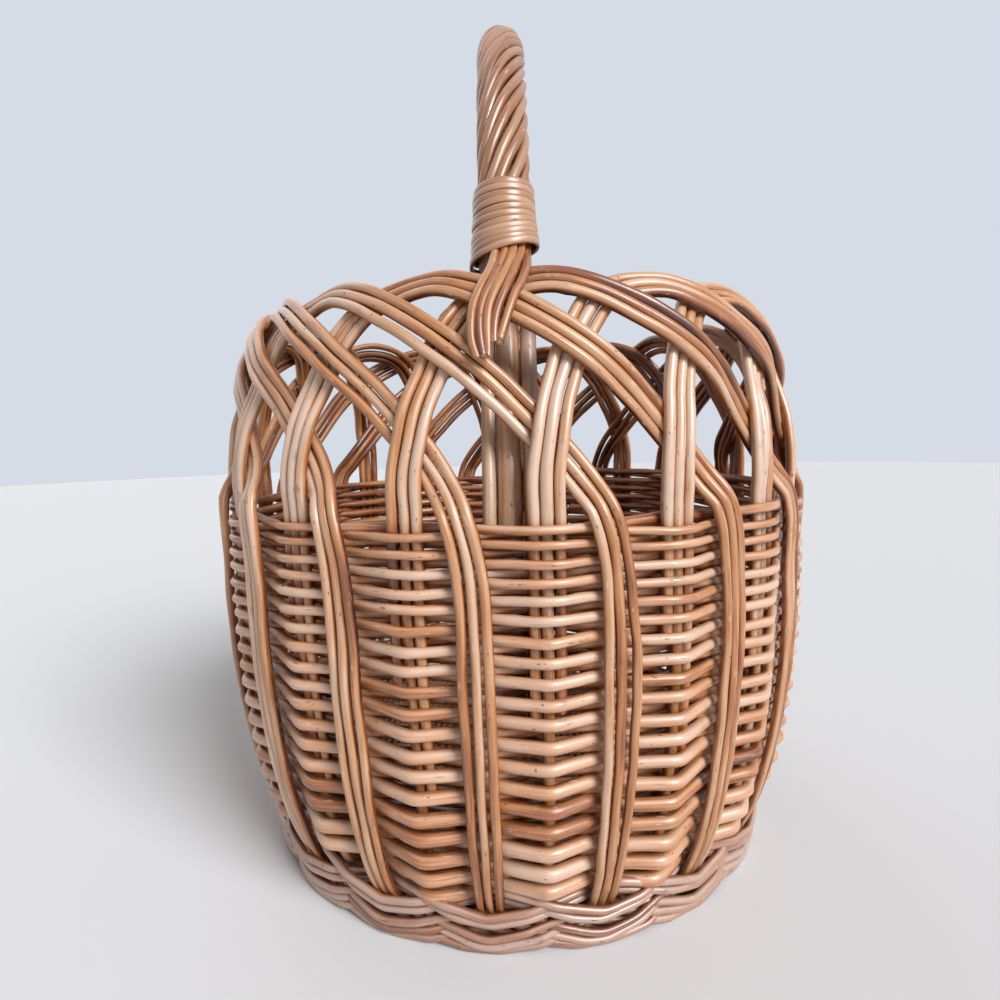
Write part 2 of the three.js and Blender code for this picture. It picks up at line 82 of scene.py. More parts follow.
# Handle
BOW_RADIUS = 0.005
LEG_FOOT_HEIGHT = 0.042  # where the bow's legs end inside the wall
LEG_INSET = 0.013  # bow's legs inside the stakes' centres
HANDLE_INSET = 0.018  # bow's middle inside the rods along the rim
HANDLE_RISE = 0.145  # bow's top above the rim
ROPE_RADIUS = 0.01135  # over the rods roped round the bow
ROPE_TURNS = 3
ROPE_FOOT = 0.0085  # where the roping ends, above the rods along the rim
RODS_PER_STRAND = 4
LASHING_LENGTH = 0.0315
LASHING_TURNS = 11
CANE_THICKNESS = 0.0013

# Mesh of the rods
SIDES = 10
RING_SPACING = 0.0022
SHARP_ANGLE = math.radians(55)
CURVE_STEPS = 24  # from one given point of a curve to the next
BEND_STEP = 0.0006  # between points while bends are rounded

# Unevenness of the rods
WAVE_STRETCHES = (1.0, 1.7, 3.1)  # lengths of the waves that make up an uneven one
WAVE_SPREAD = (0.8, 1.3)  # range by which those lengths vary
WOBBLE = 0.00028
WOBBLE_FADE = 0.02  # length at each end over which the wobble sets in
WIDTH_WANDER = 0.035  # share by which a rod's width varies
KNOT_SPACING = 0.085
FIRST_KNOT = (0.2, 1.0)  # range of its place, in spacings
KNOT_GAPS = (0.5, 1.8)  # range of the lengths between knots, in spacings
KNOT_SIZES = (0.3, 1.0)
KNOT_REACH = 0.0021  # about half the length of a knot's swelling
KNOT_CORE = 0.0016  # about half the length of its dark part
KNOT_BUD = 0.15  # height of the swelling on the bud's side, in half-widths
KNOT_RING = 0.04  # height of the swelling all round

# Tones of the rods, from 0, dark, to 1, pale, and the painted light and shade laid over them
ROD_TONE = 0.7
TONE_SPREAD = 0.17
FLANK_SHADE = 0.95  # painted shade: how much darker a rod is on its flanks and its inner side
FLANK_WIDTH = 1.2  # span of a rod's outward side over which its painted shade would grow to full, in half-widths
FLANK_MOST = 0.65  # the most painted shade that a side takes, as a share of the full
DARKEST = 0.13  # tone that a rod's flanks don't fall below under the painted shade
INNER_LIFT = 0.2  # how much higher that is on the inner side
TOP_LIGHT_AND_SHADE = 0.13  # painted light and shade: how much paler a rod is where it faces up, and darker where it faces down
PATTERN_LENGTH = 40  # length of pattern from which each rod takes its own stretch

# First random seed of each kind of piece
SEEDS = {"border": 100, "weave_a": 300, "weave_b": 350, "sticks": 500, "base_weave": 520, "foot": 600}
SEEDS |= {"bow": 700, "rope": 720, "lashing": 760, "tail": 780}

# Worked-out sizes
PITCH = math.tau / STAKE_COUNT
STAKE_FOOT = FOOT_HEIGHT + CLEARANCE + ROD_RADIUS
BELLY_START = FOOT_HEIGHT - 2 * ROD_RADIUS
ROW_PITCH = WEAVER_THICKNESS + CLEARANCE  # at the foot of the wall
WEAVE_BOTTOM = STAKE_FOOT + ROD_RADIUS + CLEARANCE
ROWS = 2 * (WEAVERS_PER_SET * TURNS_PER_WEAVER + 1)  # with the slope of the two sets
WALL_TOP = WEAVE_BOTTOM + ROW_PITCH * ROWS * (1 - WEAVER_THINNING / 2)
RIM_HEIGHT = WALL_TOP + BORDER_HEIGHT
BYE_FOOT = WALL_TOP - BYE_DEPTH
LASHING_FOOT = RIM_HEIGHT + ROPE_FOOT

# Directions
SIDEWAYS = np.array([1.0, 0, 0])
UP = np.array([0.0, 0, 1])
LEVEL = np.array([1, 1, 0])
HALF_TURN = np.array([-1, -1, 1])


# Curves

def unit(vectors):
    return vectors / np.linalg.norm(vectors, axis=-1, keepdims=True)


def lengths_along(path):
    steps = np.linalg.norm(np.diff(path[:, :3], axis=0), axis=1)
    return np.concatenate([[0.0], np.cumsum(steps)])


def resample(path, spacing):
    """The same line with points evenly spaced along it."""
    along = lengths_along(path)
    marks = np.linspace(0, along[-1], max(int(along[-1] / spacing), 3) + 1)
    return np.stack([np.interp(marks, along, column) for column in path.T], axis=1)


def spline(points, spacing=RING_SPACING):
    """Evenly spaced points along the centripetal Catmull-Rom curve through the given ones."""
    given = np.asarray(points, float)
    line = np.vstack([2 * given[0] - given[1], given, 2 * given[-1] - given[-2]])
    marks = np.concatenate([[0.0], np.cumsum(np.linalg.norm(np.diff(line, axis=0), axis=1) ** 0.5)])
    spans = []
    for i in range(1, len(line) - 2):
        t = np.linspace(marks[i], marks[i + 1], CURVE_STEPS, endpoint=False)[:, None]

        def between(low, high, a, b):
            return ((marks[high] - t) * a + (t - marks[low]) * b) / (marks[high] - marks[low])

        first = between(i - 1, i, line[i - 1], line[i])
        middle = between(i, i + 1, line[i], line[i + 1])
        last = between(i + 1, i + 2, line[i + 1], line[i + 2])
        spans.append(between(i, i + 1, between(i - 1, i + 1, first, middle), between(i, i + 2, middle, last)))
    return resample(np.vstack([*spans, given[-1:]]), spacing)


def rounded(points, softness, spacing=RING_SPACING):
    """Straight runs between the points, with each bend rounded. Columns after the third go along."""
    dense = resample(np.asarray(points, float), BEND_STEP)
    reach = max(int(3 * softness / BEND_STEP), 1)
    weights = np.exp(-0.5 * (np.arange(-reach, reach + 1) * BEND_STEP / softness) ** 2)
    before = 2 * dense[0] - dense[reach:0:-1]
    after = 2 * dense[-1] - dense[-2 : -reach - 2 : -1]
    padded = np.vstack([before, dense, after])
    columns = [np.convolve(column, weights / weights.sum(), "valid") for column in padded.T]
    return resample(np.stack(columns, axis=1), spacing)


def wander(along, rng, reach=0.03):
    """A slow uneven wave between about -1 and 1, whose shortest part is about reach long."""
    total = np.zeros_like(along)
    for stretch in WAVE_STRETCHES:
        length = reach * stretch * rng.uniform(*WAVE_SPREAD)
        total += np.sin(math.tau * along / length + rng.uniform(0, math.tau))
    return total / len(WAVE_STRETCHES)


# Body surface, on which the stakes' centres lie

def row_height(row):
    """Height at a number of rows above the bottom of the weave."""
    return WEAVE_BOTTOM + ROW_PITCH * row * (1 - WEAVER_THINNING * row / (2 * ROWS))


def row_pitch(height):
    """Spacing of the rows at a height, with a floor for heights above the weave."""
    climbed = np.maximum(height - WEAVE_BOTTOM, 0) / (ROW_PITCH * ROWS)
    return ROW_PITCH * np.sqrt(np.maximum(1 - 2 * WEAVER_THINNING * climbed, 0.3))


def body_radius(height):
    """Radius of the stakes' centres at a height."""
    swell = np.clip((height - BELLY_START) / BELLY_RISE, 0, 1) ** BELLY_POWER
    rise = np.maximum((height - WALL_TOP) / BORDER_HEIGHT, 0)
    belly = (WALL_RADIUS - BASE_RADIUS) * np.sin(swell * math.pi / 2)
    return BASE_RADIUS + belly - NECK_LEAN * rise - RIM_LEAN * rise**RIM_POWER


def around(turn, radius, height):
    """Points at a number of stake pitches round the body, counted from the front to the right."""
    angle = np.asarray(turn) * PITCH
    return np.stack(np.broadcast_arrays(radius * np.sin(angle), -radius * np.cos(angle), height), axis=-1)


def off_body(turn, height, offset):
    """Points off the body's surface, and the directions that point away from it there."""
    step = 0.0005
    tilt = np.arctan((body_radius(height + step) - body_radius(height - step)) / (2 * step))
    points = around(turn, body_radius(height) + offset * np.cos(tilt), height - offset * np.sin(tilt))
    return points, around(turn, np.cos(tilt), -np.sin(tilt))


def away_from_middle(path):
    """Level directions away from the basket's middle."""
    return unit(path * LEVEL)


# Rods and pieces

class Bundle:
    """The corners, faces and surface values of the rods in one piece."""

    def __init__(self):
        self.corners = []
        self.quads = []
        self.triangles = []
        self.space = []
        self.marks = []
        self.count = 0

    def add(self, rings, ends, space, marks):
        """Adds one tube: rings of corners, the middles of its two end caps, and the values at both."""
        steps, sides, _ = rings.shape
        index = self.count + np.arange(steps * sides).reshape(steps, sides)
        beside = np.roll(index, -1, axis=1)
        quads = np.stack([index[:-1], beside[:-1], beside[1:], index[1:]], axis=-1)
        middles = self.count + steps * sides + np.arange(2)
        start = np.stack([np.full(sides, middles[0]), beside[0], index[0]], axis=-1)
        end = np.stack([np.full(sides, middles[1]), index[-1], beside[-1]], axis=-1)
        self.corners += [rings.reshape(-1, 3), ends]
        self.quads.append(quads.reshape(-1, 4))
        self.triangles += [start, end]
        self.space.append(space)
        self.marks.append(marks)
        self.count += steps * sides + 2


def swell_knots(along, width, angles, knotty, rng):
    """Half-widths at the corners of a rod's rings, swollen at its knots, and how dark the knots are there."""
    shape = np.repeat(width[:, None], SIDES, axis=1)
    knots = np.zeros_like(shape)
    place = rng.uniform(*FIRST_KNOT) * KNOT_SPACING
    while knotty and place < along[-1]:
        facing = np.maximum(np.cos(angles - rng.uniform(0, math.tau)), 0)[None, :]
        near = np.exp(-(((along - place) / KNOT_REACH) ** 2))[:, None]
        size = rng.uniform(*KNOT_SIZES)
        shape += width[:, None] * (KNOT_BUD * size * near * facing**2 + KNOT_RING * size * near)
        knots += size * np.exp(-(((along - place) / KNOT_CORE) ** 2))[:, None] * facing**6
        place += KNOT_SPACING * rng.uniform(*KNOT_GAPS)
    return shape, np.minimum(knots, 1)


def tones_round(shades, outward, upward):
    """Tones at the corners of a rod's rings: painted shade on flanks and inner side, painted light on top."""
    painted_shade = np.clip(0.5 - outward / FLANK_WIDTH, 0, FLANK_MOST)
    darkest = DARKEST + INNER_LIFT * np.maximum(-outward, 0)
    return np.maximum(shades[:, None] - FLANK_SHADE * painted_shade, darkest) + TOP_LIGHT_AND_SHADE * upward


def add_tube(
    bundle, path, outs, widths, rng, tone=None, shading=0.0, flat=1.0, boxy=1.0, slant=0.5, knotty=True
):
    """Adds a tube of varying half-width along a path, with knots, an uneven line and cut ends.

    The directions in outs are the tube's outer side. Flat is its thickness that way as a share of its width,
    a boxy value below 1 squares its section, and slant is the slope of its ends. No tone means a random one.
    """
    along = lengths_along(path)
    tangent = unit(np.gradient(path, axis=0))
    across = unit(np.cross(tangent, outs))
    out = np.cross(across, tangent)
    angles = np.linspace(0, math.tau, SIDES, endpoint=False)
    waves = np.stack([np.cos(angles), np.sin(angles)])[:, None, :]
    sideward, outward = np.sign(waves) * np.abs(waves) ** boxy

    width = np.broadcast_to(widths, len(path)) * (1 + WIDTH_WANDER * wander(along, rng, reach=0.02))
    shape, knots = swell_knots(along, width, angles, knotty, rng)
    wobble = WOBBLE * np.minimum(1, np.minimum(along, along[-1] - along) / WOBBLE_FADE)
    centre = path + across * (wobble * wander(along, rng))[:, None]
    centre = centre + out * (wobble * wander(along, rng))[:, None]
    reach = across[:, None, :] * (shape * sideward)[..., None]
    reach = reach + out[:, None, :] * (shape * outward * flat)[..., None]
    rings = centre[:, None, :] + reach
    for end in (0, -1):
        cut = slant * width[end] * np.cos(angles - rng.uniform(0, math.tau))
        rings[end] += tangent[end] * cut[:, None]
    ends = rings[[0, -1]].mean(axis=1)

    shift = rng.uniform(0, PATTERN_LENGTH)
    lengthwise = np.broadcast_to(along[:, None] + shift, shape.shape)
    space = np.stack([lengthwise, shape * sideward, shape * outward], axis=-1)
    cap_space = np.array([[shift, 0, 0], [along[-1] + shift, 0, 0]])
    own_tone = np.clip(rng.normal(ROD_TONE, TONE_SPREAD), 0, 1) if tone is None else tone
    # shading is tone added along the path, much of it painted light and shade; tones_round adds painted light
    # and shade round the rod
    shades = np.broadcast_to(own_tone + shading, len(path))
    tones = tones_round(shades, outward, unit(reach)[..., 2])
    marks = np.zeros((tones.size + 2, 3))
    marks[:, 0] = np.concatenate([tones.ravel(), shades[[0, -1]]])
    marks[:-2, 1] = knots.ravel()
    marks[-2:, 2] = 1
    bundle.add(rings, ends, np.vstack([space.reshape(-1, 3), cap_space]), marks)


def make_piece(name, bundle, material, nodes):
    """Makes the bundle a mesh that stands for its CAD nodes."""
    corners = np.vstack(bundle.corners)
    quads = np.vstack(bundle.quads)
    triangles = np.vstack(bundle.triangles)
    mesh = bpy.data.meshes.new(name)
    mesh.vertices.add(len(corners))
    mesh.vertices.foreach_set("co", corners.ravel())
    mesh.loops.add(quads.size + triangles.size)
    mesh.loops.foreach_set("vertex_index", np.concatenate([quads.ravel(), triangles.ravel()]))
    mesh.polygons.add(len(quads) + len(triangles))
    starts = [np.arange(len(quads)) * 4, quads.size + np.arange(len(triangles)) * 3]
    mesh.polygons.foreach_set("loop_start", np.concatenate(starts))
    mesh.update(calc_edges=True)
    mesh.shade_smooth()
    mesh.set_sharp_from_angle(angle=SHARP_ANGLE)
    space = mesh.attributes.new("rod_space", "FLOAT_VECTOR", "POINT")
    space.data.foreach_set("vector", np.vstack(bundle.space).ravel())
    for column, label in enumerate(("rod_tone", "rod_knot", "rod_cut")):
        mark = mesh.attributes.new(label, "FLOAT", "POINT")
        mark.data.foreach_set("value", np.vstack(bundle.marks)[:, column].copy())
    mesh.materials.append(material)
    piece = bpy.data.objects.new(name, mesh)
    bpy.context.scene.collection.objects.link(piece)
    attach(piece, "root")
    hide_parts(*nodes)


# Materials. Willow's patterns: repeats in a metre along and across the rod, and detail.
STREAKS = (42, 900, 5.0)
MOTTLE = (16, 150, 4.0)
SPECKS = (300, 760, 1.0)
SCUFFS = (95, 900, 2.0)
FLECKS = (150, 620, 2.0)
MOTTLE_DEPTH = 1.3  # how far a pattern moves the tone
STREAK_DEPTH = 0.8
SPECK_EDGE = (0.71, 0.77)  # values of the pattern between which a mark sets in
SCUFF_EDGE = (0.66, 0.78)
MOTTLE_RANGE = (0.3, 0.7)
ROUGHNESS = (0.3, 0.46)  # over the mottle's range
FIBRE_RELIEF = 0.6  # height of the streaks, where a speck is 1 deep
RELIEF = {"Strength": 0.28, "Distance": 0.0004}
SHEEN = {"Coat_Roughness": 0.3, "Specular_IOR_Level": 0.75}

# Marks on the willow, as a colour in screen values and its strength
MARKS = {
    "speck": ((92, 54, 34), 0.75),
    "scuff": ((112, 70, 46), 0.6),
    "fleck": ((228, 202, 182), 0.55),
    "knot": ((84, 50, 34), 0.85),
    "cut": ((226, 198, 158), 0.9),
}

# Tones from dark to pale, in screen values
BORDER_TONES = [(66, 26, 8), (136, 75, 34), (178, 118, 71), (198, 151, 113), (207, 176, 154)]
WEAVE_TONES = [(66, 25, 9), (136, 75, 37), (178, 118, 75), (203, 153, 118), (209, 173, 148)]
FOOT_TONES = [(76, 37, 21), (128, 80, 55), (158, 111, 87), (177, 139, 118), (182, 152, 138)]
HANDLE_TONES = [(66, 30, 12), (116, 67, 34), (143, 90, 53), (160, 109, 73), (167, 123, 91)]
BASE_TONES = [(80, 44, 24), (116, 70, 42), (142, 94, 60), (162, 116, 80)]
CANE_TONES = [(118, 75, 48), (153, 107, 76), (175, 130, 98), (190, 149, 119)]


def linear(red, green, blue):
    """A colour given as screen values from 0 to 255, as the shaders take it."""
    parts = [value / 255 for value in (red, green, blue)]
    return (*[(v / 12.92 if v <= 0.04045 else ((v + 0.055) / 1.055) ** 2.4) for v in parts], 1.0)


def add_node(tree, kind, links=(), **settings):
    """Adds a node, sets its properties or inputs, and links sockets to its inputs."""
    node = tree.nodes.new(kind)
    for key, value in settings.items():
        if hasattr(node, key):
            setattr(node, key, value)
        else:
            node.inputs[key.replace("_", " ")].default_value = value
    for target, source in links:
        tree.links.new(source, node.inputs[target])
    return node


def attribute(tree, label, output):
    return add_node(tree, "ShaderNodeAttribute", attribute_name=label).outputs[output]


def stretched_noise(tree, space, along, across, detail):
    """Noise in a rod's own space, with different scales along and across the rod."""
    mapping = add_node(tree, "ShaderNodeMapping", [("Vector", space)], Scale=(along, across, across))
    noise = add_node(tree, "ShaderNodeTexNoise", [("Vector", mapping.outputs[0])], Scale=1.0, Detail=detail)
    return noise.outputs["Fac"]


def remap(tree, source, low, high, to_low=0.0, to_high=1.0):
    node = add_node(tree, "ShaderNodeMapRange", [("Value", source)], clamp=True)
    for key, value in zip(("From Min", "From Max", "To Min", "To Max"), (low, high, to_low, to_high)):
        node.inputs[key].default_value = value
    return node.outputs[0]


def combine(tree, operation, first, second):
    """Arithmetic on two sockets, or on a socket and a number."""
    node = add_node(tree, "ShaderNodeMath", operation=operation)
    for socket, value in zip(node.inputs, (first, second)):
        if isinstance(value, (int, float)):
            socket.default_value = value
        else:
            tree.links.new(value, socket)
    return node.outputs[0]


def tint(tree, base, colour, factor):
    node = add_node(tree, "ShaderNodeMix", data_type="RGBA", blend_type="MIX")
    tree.links.new(factor, node.inputs["Factor"])
    tree.links.new(base, node.inputs["A"])
    node.inputs["B"].default_value = colour
    return node.outputs["Result"]


def tone_ramp(tree, place, tones):
    """The colour at a place from 0 to 1 between evenly spaced tones."""
    ramp = add_node(tree, "ShaderNodeValToRGB", [("Fac", place)])
    stops = ramp.color_ramp.elements
    while len(stops) < len(tones):
        stops.new(0.5)
    for i, shade in enumerate(tones):
        stops[i].position = i / (len(tones) - 1)
        stops[i].color = linear(*shade)
    return ramp.outputs["Color"]


def willow(name, tones, varnish=0.35):
    """Varnished peeled willow: streaked along the rod, with specks, scuffs, dark knots and pale cut ends."""
    material = bpy.data.materials.new(name)
    material.use_nodes = True
    tree = material.node_tree
    tree.nodes.clear()
    space = attribute(tree, "rod_space", "Vector")
    streak = stretched_noise(tree, space, *STREAKS)
    mottle = stretched_noise(tree, space, *MOTTLE)
    covers = {
        "speck": remap(tree, stretched_noise(tree, space, *SPECKS), *SPECK_EDGE),
        "scuff": remap(tree, stretched_noise(tree, space, *SCUFFS), *SCUFF_EDGE),
        "fleck": remap(tree, stretched_noise(tree, space, *FLECKS), *SCUFF_EDGE),
        "knot": attribute(tree, "rod_knot", "Fac"),
        "cut": attribute(tree, "rod_cut", "Fac"),
    }

    uneven = combine(tree, "MULTIPLY", combine(tree, "SUBTRACT", mottle, 0.5), MOTTLE_DEPTH)
    fibre = combine(tree, "MULTIPLY", combine(tree, "SUBTRACT", streak, 0.5), STREAK_DEPTH)
    place = combine(tree, "ADD", attribute(tree, "rod_tone", "Fac"), combine(tree, "ADD", uneven, fibre))
    colour = tone_ramp(tree, place, tones)
    for label, (shade, strength) in MARKS.items():
        colour = tint(tree, colour, linear(*shade), combine(tree, "MULTIPLY", covers[label], strength))

    relief = combine(tree, "SUBTRACT", combine(tree, "MULTIPLY", streak, FIBRE_RELIEF), covers["speck"])
    bump = add_node(tree, "ShaderNodeBump", [("Height", relief)], **RELIEF)
    rough = remap(tree, mottle, *MOTTLE_RANGE, *ROUGHNESS)
    links = [("Base Color", colour), ("Normal", bump.outputs[0]), ("Roughness", rough)]
    shader = add_node(tree, "ShaderNodeBsdfPrincipled", links, Coat_Weight=varnish, **SHEEN)
    add_node(tree, "ShaderNodeOutputMaterial", [("Surface", shader.outputs[0])])
    return material


border_willow = willow("willow_border", BORDER_TONES)
weave_willow = willow("willow_weave", WEAVE_TONES)
base_willow = willow("willow_base", BASE_TONES, varnish=0.1)
foot_willow = willow("willow_foot", FOOT_TONES)
handle_willow = willow("willow_handle", HANDLE_TONES)
lashing_cane = willow("cane_lashing", CANE_TONES)


# Stake groups and openwork border: stake pitches to the right, share of the border's height, and side of
# the surface, from the top of the weave over the rim and down to the outside of the weave.
BORDER_ROUTE = [
    (0, 0, 0),
    (0, 0.1, 0.7),
    (0.01, 0.2, 1),
    (0.035, 0.3, 1),
    (0.065, 0.4, 0.75),
    (0.105, 0.495, 0),
    (0.165, 0.59, -0.75),
    (0.235, 0.69, -1),
    (0.33, 0.79, -1),
    (0.53, 0.925, -1),
    (0.8, 0.988, -0.75),
    (1.02, 0.997, 0),
    (1.24, 0.981, 0.75),
    (1.52, 0.935, 1),
    (1.82, 0.862, 1),
    (2.1, 0.775, 1),
    (2.36, 0.675, 0.95),
    (2.54, 0.597, 0.3),
    (2.7, 0.515, -0.5),
    (2.86, 0.42, -0.95),
    (3.04, 0.305, -1),
    (3.18, 0.21, -0.8),
    (3.29, 0.115, 0.2),
    (3.37, 0.025, 1.75),
    (3.42, -0.07, 2.2),
    (3.46, -0.2, 2.1),
    (3.485, -0.36, 2),
]
CROSSING = 0.92 * ROD_RADIUS  # half the distance between crossing groups
ROD_SPACING = 2.04 * ROD_RADIUS  # of the rods side by side in a group
STRAIGHT_TOP = WALL_TOP - 0.025  # where a stake's straight stretch ends
BAND_PITCHES = 3.5  # from a stake to its band down the outside of the weave
BAND_STANDOFF = 0.0052  # band's middle off the stakes' centres
BAND_TOP = WALL_TOP - 0.6 * BORDER_HEIGHT
BAND_FOOT = FOOT_HEIGHT - 0.003
STRAIGHT_POINTS = 8  # along a stake or a band
TONGUE_BEND = 0.0015  # softness of a stake's bend into the base
GROUP_TAPER = ([0, 0.55, 1], [1.0, 0.97, 0.78])  # shares of the length, and of the rods' width there
SHADE_PITCHES = [0, 0.25, 0.6, 3.2, 3.45, 3.5]  # stake pitches along the route
GROUP_SHADES = [0.3, 0.24, -0.08, 0.0, 0.0, -0.06]  # tone added there: painted light paling the upright stakes above the weave, slightly darker over arches and bands
STAKE_SHADE = 0.4  # painted shade: how much darker the stakes are inside the weave, behind the weavers, than above it
STAKE_SHADE_DEPTH = 0.01  # depth below the weave's top at which that is reached
GROUP_WIDTHS = (0.92, 1.06)  # of single rods, as shares of the usual width
GROUP_LIFT = 0.00045  # how far single rods lie off the group's surface
UNEVEN_SPACING = 0.05  # how far the rods' spacing varies, as a share of it
GAPING = 0.3  # how much wider it is in places
BAND_GAPING = 0.4  # how much wider it is half-way down a band, at most
BYE_DEEPER = (0, 0.012, 0.035, 0.07)  # how much deeper an inserted rod may reach than in the frame
BYE_SPREAD = 0.01  # how far that varies


def group_line():
    """The whole route of a stake group as pitches, height and offset from the body's surface."""
    arc = WALL_RADIUS * PITCH
    stake = [(0, height, 0) for height in np.linspace(STAKE_FOOT, STRAIGHT_TOP, STRAIGHT_POINTS)]
    border = [(p * arc, WALL_TOP + share * BORDER_HEIGHT, side * CROSSING) for p, share, side in BORDER_ROUTE]
    heights = np.linspace(BAND_TOP, BAND_FOOT, STRAIGHT_POINTS)
    band = [(BAND_PITCHES * arc, height, BAND_STANDOFF) for height in heights]
    line = spline([*stake, *border, *band])
    return line / np.array([arc, 1, 1])


def add_border_group(number, line):
    """Three rods side by side. The middle one is the stake, and the others start in the upper weave."""
    rng = np.random.default_rng(SEEDS["border"] + number)
    stake_turn = FIRST_STAKE + number - 1
    path, outs = off_body(stake_turn + line[:, 0], line[:, 1], line[:, 2])
    across = unit(np.cross(unit(np.gradient(path, axis=0)), outs))
    along = lengths_along(path)
    taper = np.interp(along / along[-1], *GROUP_TAPER)
    depth = WALL_TOP - line[:, 1]
    in_weave = np.clip(depth / STAKE_SHADE_DEPTH, 0, 1) * (line[:, 0] < 1)
    # Painted light pales the stakes above the weave, and painted shade darkens them inside it
    paler = np.interp(line[:, 0], SHADE_PITCHES, GROUP_SHADES) - STAKE_SHADE * in_weave
    down_band = np.clip(depth / (WALL_TOP - FOOT_HEIGHT), 0, 1) * (line[:, 0] > 3)
    bundle = Bundle()
    for place in (-1, 0, 1):
        apart = 1 + UNEVEN_SPACING * wander(along, rng, reach=0.09)
        apart = apart + GAPING * np.maximum(wander(along, rng, reach=0.2), 0) ** 2
        apart = apart + rng.uniform(0, BAND_GAPING) * np.sin(math.pi * down_band)
        aside = place * ROD_SPACING * taper * apart
        lift = GROUP_LIFT * wander(along, rng, reach=0.06)
        rod = np.hstack([path + across * aside[:, None] + outs * lift[:, None], outs, paler[:, None]])
        widths = taper * ROD_RADIUS * rng.uniform(*GROUP_WIDTHS)
        if place == 0:
            tongue = around(stake_turn, np.array([BASE_RADIUS - TONGUE]), STAKE_FOOT)
            rod = rounded(np.vstack([np.hstack([tongue, [[*-UP, paler[0]]]]), rod]), TONGUE_BEND)
            widths = np.interp(lengths_along(rod) / lengths_along(rod)[-1], along / along[-1], widths)
        else:
            deeper = rng.choice(BYE_DEEPER) + rng.uniform(-BYE_SPREAD, BYE_SPREAD)
            first = int(np.argmax(line[:, 1] > BYE_FOOT - deeper))
            rod = rod[first:]
            widths = widths[first:]
        add_tube(bundle, rod[:, :3], rod[:, 3:6], widths, rng, shading=rod[:, 6])
    node = f"border_group_{number:02d}"
    make_piece(f"rods_{node}", bundle, border_willow, [node])


# Weave
WEAVER_FILL = (0.62, 0.535)  # half-width of a weaver as a share of the rows' spacing, low and high
WEAVE_LEAD = 10  # stakes that the lowest weavers pass below the first full round
WEAVER_BEND = 0.0014  # softness of a weaver's bends
WEAVER_SLACK = 0.0005  # at most, between a weaver and a stake
WEAVER_LIFT = 0.00045  # how unevenly the weavers lie on each other
BACK_HOLD = 0.18  # stake pitches on each side of a stake over which a weaver keeps behind it
FRONT_HOLD = 0.02  # the same in front of a stake
BYE_HOLD = 0.06  # how many more there are in front of the inserted rods
TOP_ROW = 0.006  # depth below the weave's top at which the last row starts
TOP_ROW_EDGE = 0.003  # height over which its thickness sets in
TOP_ROW_SWELL = 0.25  # how much thicker the weavers are in it
INSIDE_SWELL = 0.3  # how much thicker they are behind the stakes
INSIDE_SHADE = 0.32  # painted shade: how much darker they are there, in the gaps between the rows
WEAVE_SHADES = (-0.1, 0.14)  # tone added at the bottom and at the top


def weaver_half(height):
    return row_pitch(height) * np.interp(height, [WEAVE_BOTTOM, WALL_TOP], WEAVER_FILL)


def add_weaver(letter, number):
    """One weaver of two turns, behind the even stakes of its own count and in front of the odd ones."""
    odd_set = "ab".index(letter)
    rng = np.random.default_rng(SEEDS[f"weave_{letter}"] + number)
    stakes_passed = TURNS_PER_WEAVER * STAKE_COUNT
    back_stake = STAKE_COUNT // 2 - STAKE_COUNT // 2 % 2 + odd_set
    first = -WEAVE_LEAD if number == 1 else 0

    def height_after(passed):
        return row_height(0.5 + odd_set + 2 * (passed + odd_set) / STAKE_COUNT)

    points = []
    for j in range(first, stakes_passed + 1):
        passed = (number - 1) * stakes_passed + j
        side = -1 if j % 2 == 0 else 1
        middle = height_after(passed)
        over_byes = np.clip((middle - BYE_FOOT) / (4 * ROD_RADIUS), 0, 1)
        hold = FRONT_HOLD + BYE_HOLD * over_byes if side > 0 else BACK_HOLD
        offset = side * (ROD_RADIUS + weaver_half(middle) + rng.uniform(0, WEAVER_SLACK))
        lift = rng.normal(0, WEAVER_LIFT)
        for step in (-hold, hold):
            if first <= j + step <= stakes_passed:
                height = height_after(passed + step) + lift
                turn = FIRST_STAKE + back_stake + passed + step
                points.append([*around(turn, body_radius(height) + offset, height), side])
    line = rounded(points, WEAVER_BEND)
    path = line[:, :3]
    top_row = np.clip((path[:, 2] - WALL_TOP + TOP_ROW) / TOP_ROW_EDGE, 0, 1)
    inside = np.clip(-line[:, 3], 0, 1)
    widths = weaver_half(path[:, 2]) * (1 + TOP_ROW_SWELL * top_row) * (1 + INSIDE_SWELL * inside)
    paler = np.interp(path[:, 2], [WEAVE_BOTTOM, WALL_TOP], WEAVE_SHADES)
    bundle = Bundle()
    # painted shade on the passes behind the stakes
    add_tube(bundle, path, away_from_middle(path), widths, rng, shading=paler - INSIDE_SHADE * inside)
    node = f"weaver_{letter}_{number:02d}"
    make_piece(f"rod_{node}", bundle, weave_willow, [node])


# Base
STICK_SPACING = 2 * BASE_STICK_RADIUS + 3 * CLEARANCE
STICKS_STRAIGHT = STICK_SPACING * (STICKS_ALONG / 2 + 1)  # from the middle to where the sticks fan out
STICK_REACH = BASE_RADIUS - TONGUE - 2 * CLEARANCE
STICK_SHARES = (0.45, 0.72, 1)  # points of the fanned stretch, as shares of the reach
STICK_TAPER = 0.86  # width at the thin end, as a share of that at the thick end
STICK_SLANT = 0.2
BASE_ROD_RADIUS = 0.0021
BASE_RING_SPACING = 0.004


def stick_line(aside, fan, turned_across):
    """A base stick: straight through the middle of the base, then fanned out to the foot of the wall."""
    low = STAKE_FOOT - (STICK_SPACING if turned_across else 0)
    half = [(aside, STICKS_STRAIGHT, low)]
    for share in STICK_SHARES:
        half.append((share * STICK_REACH * math.sin(fan), share * STICK_REACH * math.cos(fan), STAKE_FOOT))
    points = [(x, -y, z) for x, y, z in reversed(half)] + half
    angle = (-math.pi / 2 if turned_across else 0) + FIRST_STAKE * PITCH
    return spline(points) @ np.array(Matrix.Rotation(angle, 3, "Z")).T


